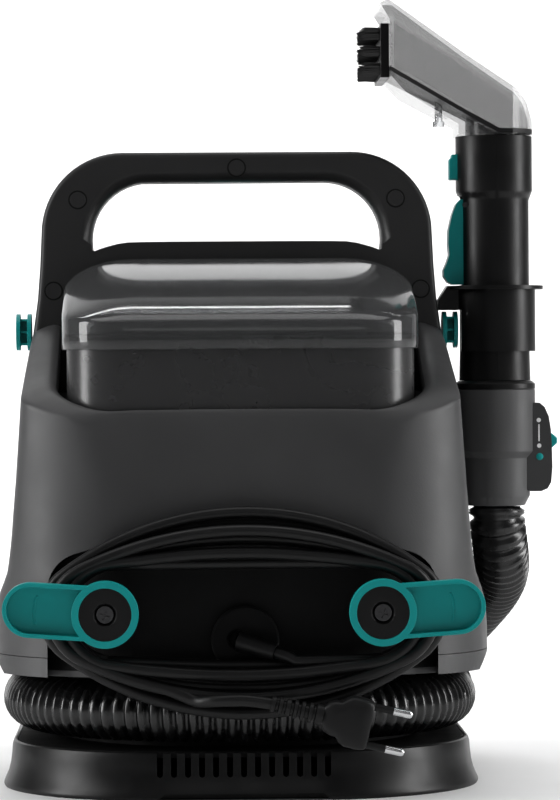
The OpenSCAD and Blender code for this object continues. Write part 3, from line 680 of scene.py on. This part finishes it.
def arch_prism():
    """The arched mouth of the cord recess as a solid, with rounded upper corners."""
    half, top, big, small = 98, 136.5, 280, 20
    cz = top - big
    # centre of the corner circle: it touches the side and the arch from inside
    cx = half - small
    czs = cz + math.sqrt((big - small) ** 2 - cx**2)
    stop = math.atan2(czs - cz, cx)
    corner = [(cx + small * math.cos(stop * i / 8), czs + small * math.sin(stop * i / 8))
              for i in range(9)]
    span = [stop + (math.pi - 2 * stop) * i / 40 for i in range(1, 40)]
    arch = [(big * math.cos(a), cz + big * math.sin(a)) for a in span]
    ring = corner + arch + [(-x, z) for x, z in reversed(corner)] + [(-half, 40), (half, 40)]
    return prism(ring, -180, -100)


def outer_wall(column, top, toward):
    """Points up the outside of a casing, from the seam to a height."""
    heights = [SHELL_LOW + (top - SHELL_LOW) * k / WALL_BANDS for k in range(WALL_BANDS + 1)]
    return [(*body_point(column, z, 0, toward), z) for z in heights]


def inner_wall(column, top, toward):
    """Points down the inside of a casing, from a height to the seam."""
    return [(*body_point(column, z, WALL, toward), z) for z in (top, 150, SHELL_LOW)]


def make_front_casing():
    """The front casing, whose thick sloping rim runs down its shoulders to the tank well."""
    well = half_outline(WELL_HALF_W, WELL_FRONT, WELL_R, [HANDLE_MID, HANDLE_FRONT, -40], -1)
    # How far across the rim each point is, and how far above the rim's slope
    rim_form = ((0.0, -0.9), (0.05, 0.0), (0.14, 0.5), (0.32, 0.9), (0.52, 1.0), (0.70, 0.7),
                (0.84, -0.2), (0.94, -1.6), (1.0, -4.0))
    sections = []
    for column in make_columns([HANDLE_MID, -11.9, HANDLE_FRONT, -16, -22, -29, -35]):
        under_handle = column[0] and column[1] > -11.95
        rim = LEG_Z
        # the rim's height and its place depend on each other, and settle in a few steps
        for _ in range(4):
            out_xy = body_point(column, rim, 0, -1)
            if not under_handle:
                across = ease((abs(out_xy[0]) - LEVEL_HALF_W) / FALL_WIDTH)
                rim = smooth_value(SHOULDER_ROWS, out_xy[1])[0] - RIM_DROP * across
        if under_handle:
            in_xy, in_z = body_point(column, rim, WALL, -1), rim
        else:
            in_xy = (math.copysign(WELL_HALF_W, out_xy[0]), out_xy[1])
            if out_xy[1] < -46:
                in_xy = toward_centre(out_xy, well)
            in_z = smooth_value(SHOULDER_ROWS, min(HANDLE_FRONT, in_xy[1]))[0]
        section = outer_wall(column, rim - 2.2, -1)
        for part, lift in rim_form:
            section.append((out_xy[0] + (in_xy[0] - out_xy[0]) * part,
                            out_xy[1] + (in_xy[1] - out_xy[1]) * part,
                            rim + (in_z - rim) * part + lift))
        section.append((in_xy[0], in_xy[1], in_z - 7))
        sections.append(section + inner_wall(column, rim - 7.5, -1))
    thing = piece("front_casing_shell", mesh_of("front_casing_shell", *tube_of(sections)),
                  charcoal, "housing", replaces=("front_casing",))
    cut(thing, *arch_prism())
    soften(thing, 1.6, 3, 50)


def make_rear_casing():
    """The rear casing, open at the top round the clean water tank, with its button's hole."""
    # How far inside the wall and how far below the top each point of the rounded rim is
    rim_form = ((0.3, 0.8), (0.8, 0.25), (1.5, 0.0), (2.2, 0.25), (2.7, 0.8), (WALL, 2.0))
    sections = []
    for column in make_columns([HANDLE_MID, 17.9, HANDLE_REAR, 22, 26, 30, 34]):
        rim = LEG_Z if column[0] and column[1] < 17.95 else REAR_TOP_Z
        section = outer_wall(column, rim - 2.0, 1)
        for inset, drop in rim_form:
            section.append((*body_point(column, rim - drop, inset, 1), rim - drop))
        sections.append(section + inner_wall(column, rim - 30, 1))
    thing = piece("rear_casing_shell", mesh_of("rear_casing_shell", *tube_of(sections)),
                  charcoal, "housing", replaces=("rear_casing",))
    hole = [(BUTTON_X + BUTTON_HOLE_R * math.cos(a), BUTTON_Z + BUTTON_HOLE_R * math.sin(a))
            for a in full_turn(48)]
    cut(thing, *prism(hole, 120, 150))


make_front_casing()
make_rear_casing()

# ---------------------------------------------------------------- handle

HANDLE_TOP, HANDLE_HALF_W, HANDLE_R = 330, 103.4, 43
GRIP_HALF_W, GRIP_TOP, GRIP_R = 76.5, 314.2, 30
HANDLE_GAP = 0.12
# Height and half width up the sides
HANDLE_SIDE = [(203, 111.2), (212, 110.6), (222, 109.6), (231, 108.5), (242, 107), (253, 105.5),
               (270, 104.2), (287, 103.4)]


def arc(cx, cz, r, a0, a1, count):
    """Points of (x, z) on a circle between two angles in degrees."""
    return [(cx + r * math.cos(math.radians(a0 + (a1 - a0) * i / count)),
             cz + r * math.sin(math.radians(a0 + (a1 - a0) * i / count)))
            for i in range(count + 1)]


def handle_rings():
    """The outlines of the handle and of the hand opening, as points of (x, z)."""
    right = [(w, z) for z, w in HANDLE_SIDE]
    right += arc(HANDLE_HALF_W - HANDLE_R, HANDLE_TOP - HANDLE_R, HANDLE_R, 6, 90, 16)
    outer = right + [(-x, z) for x, z in reversed(right)]
    # the hand opening: round above, with small lower corners and a crowned lower edge
    half = arc(GRIP_HALF_W - GRIP_R, GRIP_TOP - GRIP_R, GRIP_R, 90, 0, 12)
    half += [(GRIP_HALF_W - 0.1, 281.0), (GRIP_HALF_W - 0.3, 278.6), (GRIP_HALF_W - 1.2, 278.2)]
    half += [(72, 279.5), (68, 280.7), (63, 282.0), (58, 282.7), (50, 282.9), (34, 283), (17, 283),
             (0, 283)]
    inner = half + [(-x, z) for x, z in reversed(half)][1:-1]
    return outer, inner


def offset_ring(ring, d, outward, low=0.0):
    """Moves a ring of (x, z) points square to itself, and hardly at all below a height."""
    out = []
    n = len(ring)
    area = sum(ring[i][0] * ring[(i + 1) % n][1] - ring[(i + 1) % n][0] * ring[i][1]
               for i in range(n))
    turn = 1 if (area > 0) == outward else -1
    for i in range(n):
        a, b = Vector(ring[i - 1]), Vector(ring[(i + 1) % n])
        along_ring = (b - a).normalized()
        move = turn * d * (1.0 if ring[i][1] > low else 0.08)
        out.append((ring[i][0] + move * along_ring.y, ring[i][1] - move * along_ring.x))
    return out


def handle_wall(points, faces, ring, edge, outward, face, seam):
    """Adds one edge and wall of a half, and gives its first and last ring and their size."""
    into = 1 if seam > face else -1
    rows = [(inset, face + into * depth) for inset, depth in edge]
    rows += [(0, seam - into * 0.5), (0.5, seam)]
    low = 0 if outward else 283.2
    starts = []
    for inset, y in rows:
        starts.append(len(points))
        points.extend((x, y, z) for x, z in offset_ring(ring, inset, not outward, low))
    n = len(ring)
    for a, b in zip(starts, starts[1:]):
        faces.extend((a + k, a + (k + 1) % n, b + (k + 1) % n, b + k) for k in range(n))
    return starts[0], starts[-1], n


def close_between(work, rings):
    """Fills the flat face between an outer and an inner ring of points."""
    edges = []
    for start, n in rings:
        for k in range(n):
            a, b = work.verts[start + k], work.verts[start + (k + 1) % n]
            edges.append(work.edges.get((a, b)) or work.edges.new((a, b)))
    bmesh.ops.triangle_fill(work, use_beauty=True, edges=edges)


def make_handle():
    """Two moulded halves: a soft outer edge, and a wide rounded edge round the hand opening."""
    outer, inner = handle_rings()
    # How far inside the outline and how deep below the face each ring of an edge is
    outer_edge = [(3.4, 0), (1.7, 0.35), (0.7, 1.2), (0.1, 2.6), (0, 4.5)]
    inner_edge = [(6.0, 0), (4.4, 0.5), (2.7, 1.6), (1.2, 3.4), (0.3, 5.8), (0, 8.0)]
    for name, node, face, seam in (
            ("handle_front_half", "handle_front", HANDLE_FRONT, HANDLE_MID - HANDLE_GAP),
            ("handle_rear_half", "handle_rear", HANDLE_REAR, HANDLE_MID + HANDLE_GAP)):
        points, faces = [], []
        walls = [handle_wall(points, faces, outer, outer_edge, True, face, seam),
                 handle_wall(points, faces, inner, inner_edge, False, face, seam)]
        data = bpy.data.meshes.new(name)
        data.from_pydata([Vector(p) * MM for p in points], [], faces)
        work = bmesh.new()
        work.from_mesh(data)
        work.verts.ensure_lookup_table()
        close_between(work, [(first, n) for first, _, n in walls])
        close_between(work, [(last, n) for _, last, n in walls])
        bmesh.ops.recalc_face_normals(work, faces=work.faces)
        bmesh.ops.dissolve_limit(work, angle_limit=math.radians(0.3), verts=work.verts,
                                 edges=work.edges)
        work.to_mesh(data)
        work.free()
        data.shade_smooth()
        data.set_sharp_from_angle(angle=math.radians(50))
        thing = piece(name, data, dark_charcoal, "housing", (node,))
        normals = thing.modifiers.new("normals", "WEIGHTED_NORMAL")
        normals.keep_sharp = True


make_handle()

# ---------------------------------------------------------------- moulded CAD pieces

# CAD piece, bevel in millimetres and material
for node, width, material in (
        ("hose_drum", 0.6, deep_black), ("cord_panel", 0.4, deep_black),
        ("cord_grommet", 1.2, deep_black), ("hook_left", 0.55, teal),
        ("hook_right", 0.55, teal), ("peg_left", 0.4, teal), ("peg_right", 0.4, teal),
        ("lower_shell", 0.9, charcoal), ("tank_deck", 0.4, deep_black),
        ("power_button", 0.8, teal), ("recovery_tank", 0.9, smoked_tank),
        ("clean_tank", 1.2, clear), ("filler_cap", 0.5, teal), ("tool_holder", 0.5, black),
        ("wand_shell_left", 0.15, black), ("wand_shell_right", 0.15, black),
        ("wand_ring", 0.3, black), ("hose_cuff", 0.5, cuff_grey), ("trigger", 1.0, teal),
        ("nozzle_latch", 0.8, teal), ("nozzle_shell", 0.6, smoked_nozzle),
        ("nozzle_cover", 0.5, smoked_nozzle), ("nozzle_gasket", 0.2, rubber),
        ("control_slider", 0.5, teal), ("hose_inlet", 0.6, black), ("brush_base", 0.4, black)):
    refined(node, width, material)

# the CAD pieces that are shown as they are
for node, thing in frame["nodes"].items():
    if node in slot_of:
        look = look_of_slot[slot_of[node]]
        if node in ("trigger_pin", "hook_screws", "base_screws"):
            look = dark_steel
        for slot in thing.material_slots:
            slot.material = look

# ---------------------------------------------------------------- small parts

HOOK_X_MM, HOOK_Z_MM = 68.3, 95.3
CAP_PLACES = [(-84, 305), (0, 321.5), (84, 305), (-97, 257), (97, 257)]


def make_caps():
    """Round plugs over the handle's screws, each ringed by a flat black ring of painted shade where
    the gap round it lies.
    """
    cap = [(0.02, -11.95), (2.9, -11.98), (3.7, -12.12), (4.1, -12.1), (4.3, -11.9),
           (4.3, -11.2), (0.02, -11.2)]
    # a flat black ring just proud of the handle's face: painted shade standing in for the gap round
    # each cap
    gap = [(4.1, -11.5), (4.1, -12.04), (5.0, -12.04), (5.0, -11.5)]
    caps = joined([turned_y(cap, place, 32) for place in CAP_PLACES])
    gap_shade_rings = joined([turned_y(gap, place, 32) for place in CAP_PLACES])
    piece("handle_caps", mesh_of("handle_caps", *caps), dark_charcoal, "housing",
          replaces=("handle_screw_caps",))
    # the black rings are painted shade of the gaps, not a part of their own
    piece("handle_cap_gap_shade", mesh_of("handle_cap_gap_shade", *gap_shade_rings), deep_black, "housing")


def make_hook_centres():
    """The black discs in the hooks' rings, with a countersunk hole and a cross-head screw."""
    hole = [(0.02, -170), (7.4, -170), (7.0, -164.2), (5.6, -163.2), (4.2, -160.6),
            (4.1, -157.2), (0.02, -157.2)]
    head = [(0.02, -160.3), (1.6, -160.2), (2.9, -159.7), (3.6, -158.8), (3.6, -157.4),
            (0.02, -157.4)]
    discs = refined("hook_posts", 0, black)
    discs.modifiers.clear()
    places = [(-HOOK_X_MM, HOOK_Z_MM), (HOOK_X_MM, HOOK_Z_MM)]
    for place in places:
        cut(discs, *turned_y(hole, place))
    soften(discs, 0.35)
    heads = joined([turned_y(head, place) for place in places])
    screws = piece("hook_screw_heads", mesh_of("hook_screw_heads", *heads), dark_steel,
                   "housing")
    for x, _ in places:
        cut(screws, *block(x - 2.3, x + 2.3, -162, -159.4, 94.85, 95.75))
        cut(screws, *block(x - 0.45, x + 0.45, -162, -159.4, 93.0, 97.6))


def rounded_plan(half_w, y0, y1, r, inset=0.0, corner=12, edge=10):
    """Outline of a rounded rectangle seen from above, starting at its front left corner."""
    w, a, b, r = half_w - inset, y0 + inset, y1 - inset, max(0.5, r - inset)
    out = []
    corners = [(-w + r, a + r, 180), (w - r, a + r, 270), (w - r, b - r, 0), (-w + r, b - r, 90)]
    for cx, cy, start in corners:
        for k in range(corner + 1):
            t = math.radians(start + 90 * k / corner)
            out.append((cx + r * math.cos(t), cy + r * math.sin(t)))
    # the long sides get points between their ends, so that a surface can follow its rows
    even = []
    for i, p in enumerate(out):
        even.append(p)
        n = out[(i + 1) % len(out)]
        if math.dist(p, n) > 15:
            even += [(p[0] + (n[0] - p[0]) * k / edge, p[1] + (n[1] - p[1]) * k / edge)
                     for k in range(1, edge)]
    return even


LID_HALF_W, LID_FLAT_HALF_W, LID_SIDE_FALL = 90.5, 56, 9.5
# Place from front to back, and height of the lid's middle there
LID_ROWS = [(-140, 230), (-127.8, 236.3), (-125, 240.5), (-120, 244.2), (-110, 249.0), (-95, 254.6),
            (-70, 262.4), (-40, 269.8), (-24, 273.0), (-13.6, 273.6), (-5, 273.6)]


def lid_top(x, y):
    """Height of the lid's top, which falls towards its sides."""
    side = max(0.0, (abs(x) - LID_FLAT_HALF_W) / (LID_HALF_W - LID_FLAT_HALF_W))
    return smooth_value(LID_ROWS, y)[0] - LID_SIDE_FALL * side**2


def make_lid():
    """The clear lid: an upright skirt, and a top that falls to the front and to both sides."""
    y0, y1, r, skirt = -127.8, -13.6, 33, 225.4
    middle = (y0 + y1) / 2

    def level(inset, height):
        return [(x, y, height) for x, y in rounded_plan(LID_HALF_W, y0, y1, r, inset)]

    def shrunk(share, inset, below):
        flat = [(x * share, middle + (y - middle) * share)
                for x, y in rounded_plan(LID_HALF_W, y0, y1, r, inset)]
        return [(x, y, lid_top(x, y) - below) for x, y in flat]

    shares = [0.96, 0.92, 0.86, 0.8, 0.72, 0.64, 0.55, 0.45, 0.35, 0.25, 0.15, 0.07, 0.001]
    inner = [shrunk(share, 4.0, 2.0) for share in reversed(shares)]
    inner += [shrunk(1, inset, below) for inset, below in ((4.0, 2.2), (2.6, 3.2), (2.0, 5.0))]
    inner += [level(2.0, skirt + 6), level(2.0, skirt + 0.4), level(1.6, skirt)]
    outer = [level(0.4, skirt), level(0.0, skirt + 0.4), level(0.0, skirt + 5)]
    outer += [shrunk(1, inset, below)
              for inset, below in ((0.0, 3.0), (0.15, 1.6), (0.6, 0.7), (1.6, 0.15), (3.0, 0.0))]
    outer += [shrunk(share, 3.2, 0.0) for share in shares]
    points, faces = tube_of(inner + outer, caps=False)
    piece("lid_cover", mesh_of("lid_cover", points, faces, 50), smoked, "tank_lid",
          replaces=("tank_lid",))


def base_plan(inset):
    """Outline of the foot from above: a rounded rectangle with very large corners."""
    return rounded_plan(123.5, -133, 133, 92, inset, corner=24, edge=6)


def make_base():
    """The foot: a flared wall with a soft rim, slots over the front and a notch under them."""
    # How far inside the outline and how high each ring of the wall is
    rows = [(8, 3.2), (7.6, 22.6), (7.2, 23.8), (6.2, 24.0), (5.2, 23.4), (4.6, 21.5),
            (4.2, 17.0), (3.6, 12.0), (2.6, 8.0), (1.2, 4.6), (0.2, 2.4), (0.0, 1.2), (0.5, 0.0)]
    rings = [[(x, y, z) for x, y in base_plan(inset)] for inset, z in rows]
    floor_rings = [[(x * share, y * share, z) for x, y in base_plan(8)]
                   for share, z in ((0.02, 3.2), (0.6, 3.2))]
    under = [[(x * share, y * share, 0.0) for x, y in base_plan(0.5)]
             for share in (0.6, 0.02)]
    thing = piece("foot_tray", mesh_of("foot_tray", *tube_of(floor_rings + rings + under)), black,
                  "housing", replaces=("base_tray",))
    slots = []
    for i in range(-6, 7):
        x = i * 7
        ring = [(x - 1.5, 27), (x - 1.5, 13)]
        ring += [(x + 1.5 * math.cos(a), 13 + 1.5 * math.sin(a))
                 for a in [math.pi + math.pi * k / 6 for k in range(1, 6)]]
        ring += [(x + 1.5, 13), (x + 1.5, 27)]
        slots.append(prism(ring, -140, -100))
    cut(thing, *joined(slots))
    ring = [(-44, -2), (44, -2), (40.6, 3.0), (39.6, 3.6), (-39.6, 3.6), (-40.6, 3.0)]
    cut(thing, *prism(ring, -140, -124))


def make_control():
    """The vacuum control's housing, with a slot for its slider and small plain marks."""
    outline = [(150, 196.2), (150, 153), (152, 150.4), (155.5, 149.2), (161, 149.2), (164.4, 150.6),
               (166.3, 154), (167, 162), (166.8, 172), (166.3, 182), (165.2, 189), (163, 194),
               (160.4, 196.2)]
    data = mesh_of("control_block", *prism(outline, -6, 12), 20)
    block_piece = piece("control_block", data, charcoal, "hand_tool",
                        replaces=("control_housing",))
    cut(block_piece, *block(163.6, 170, -0.4, 6.4, 163, 188))
    # the hand tool's tube passes through it
    bore = [(0.02, 130), (18.45, 130), (18.45, 167), (21.25, 170.5), (21.45, 204), (0.02, 204)]
    cut(block_piece, *lathe(bore, (137.3, 3)))
    soften(block_piece, 1.2, 4, 50)
    mark = [(0.02, -6.06), (1.15, -6.06), (1.15, -5.9), (0.02, -5.9)]
    marks = [turned_y(mark, (159.8, 187)), turned_y(mark, (160.0, 173.4)),
             block(159.55, 160.25, -6.06, -5.9, 175.8, 184.8)]
    piece("control_marks", mesh_of("control_marks", *joined(marks)), white_paint, "hand_tool")
    dot = [(0.02, -6.3), (1.5, -6.3), (1.9, -6.0), (1.9, -5.8), (0.02, -5.8)]
    piece("control_dot", mesh_of("control_dot", *turned_y(dot, (160.2, 167.6))), teal,
          "hand_tool")


HAIRS_IN_TUFT = 44


def make_bristles():
    """Rows of tufts of thin hairs on the brush block, a little spread and uneven."""
    rng = random.Random(11)
    middle_y, pitch_y, low_z, pitch_z, tuft_r = 3, 9, 372.6, 9.3, 3.1
    parts = []
    for row in range(3):
        for col in range(-3, 4):
            cy, cz = middle_y + col * pitch_y, low_z + row * pitch_z
            for _ in range(HAIRS_IN_TUFT):
                a, r = rng.uniform(0, 2 * math.pi), tuft_r * math.sqrt(rng.random())
                foot = Vector((76.2, cy + r * math.cos(a), cz + r * math.sin(a)))
                lean = 0.9 + rng.uniform(0, 0.35)
                tip = Vector((64.3 + 0.6 * abs(col) + rng.uniform(0, 1.8),
                              cy + r * math.cos(a) * lean + rng.uniform(-0.5, 0.5),
                              cz + r * math.sin(a) * lean + rng.uniform(-0.6, 0.6)))
                parts.append(tube_of([
                    [(place.x, place.y + half * math.cos(b), place.z + half * math.sin(b))
                     for b in (0.3, 2.39, 4.49)]
                    for place, half in ((foot, 0.30), (foot.lerp(tip, 0.6), 0.28), (tip, 0.16))]))
    piece("brush_hairs", mesh_of("brush_hairs", *joined(parts)), bristle, "nozzle",
          replaces=("brush_bristles",))


make_caps()
make_hook_centres()
make_lid()
make_base()
make_control()
make_bristles()

# ---------------------------------------------------------------- studio


def make_studio():
    """A floor that curves up into a wall behind the object."""
    size, back, bend, top = 6.0, 3.0, 1.5, 5.0
    points = [(-size, -size, 0), (size, -size, 0)]
    count = 14
    for i in range(count + 1):
        a = math.pi / 2 * i / count
        y, z = back + bend * math.sin(a), bend - bend * math.cos(a)
        points += [(-size, y, z), (size, y, z)]
    points += [(-size, back + bend, top), (size, back + bend, top)]
    data = bpy.data.meshes.new("floor")
    rows = len(points) // 2
    data.from_pydata(points, [], [(2 * i, 2 * i + 1, 2 * i + 3, 2 * i + 2)
                                  for i in range(rows - 1)])
    data.shade_smooth()
    data.materials.append(floor_paint)
    floor = bpy.data.objects.new("floor", data)
    bpy.context.scene.collection.objects.link(floor)


def area_light(name, place, target, width, height, power):
    """A rectangular light of a power in watts that faces its target."""
    data = bpy.data.lights.new(name, "AREA")
    data.shape = "RECTANGLE"
    data.size, data.size_y = width, height
    data.energy = power
    light = bpy.data.objects.new(name, data)
    bpy.context.scene.collection.objects.link(light)
    light.location = place
    way = Vector(target) - Vector(place)
    light.rotation_euler = way.to_track_quat("-Z", "Y").to_euler()


make_studio()
area_light("left_strip", (-1.6, -0.30, 0.55), (0, 0, 0.2), 0.5, 1.8, 34)
area_light("right_strip", (1.7, -0.30, 0.55), (0, 0, 0.2), 0.5, 1.8, 34)
area_light("top_box", (0, 0.0, 1.9), (0, 0, 0.2), 1.9, 0.9, 13)
area_light("front_fill", (0.2, -2.6, 1.6), (0, 0, 0.2), 1.2, 0.8, 3)
area_light("back_wash", (0, 1.8, 2.6), (0, 3.6, 0.8), 3.0, 1.2, 150)

world = bpy.data.worlds.new("studio")
world.use_nodes = True
world.node_tree.nodes["Background"].inputs["Color"].default_value = (0.92, 0.93, 0.95, 1)
world.node_tree.nodes["Background"].inputs["Strength"].default_value = 0.12
bpy.context.scene.world = world
bpy.context.scene.view_settings.view_transform = "Standard"
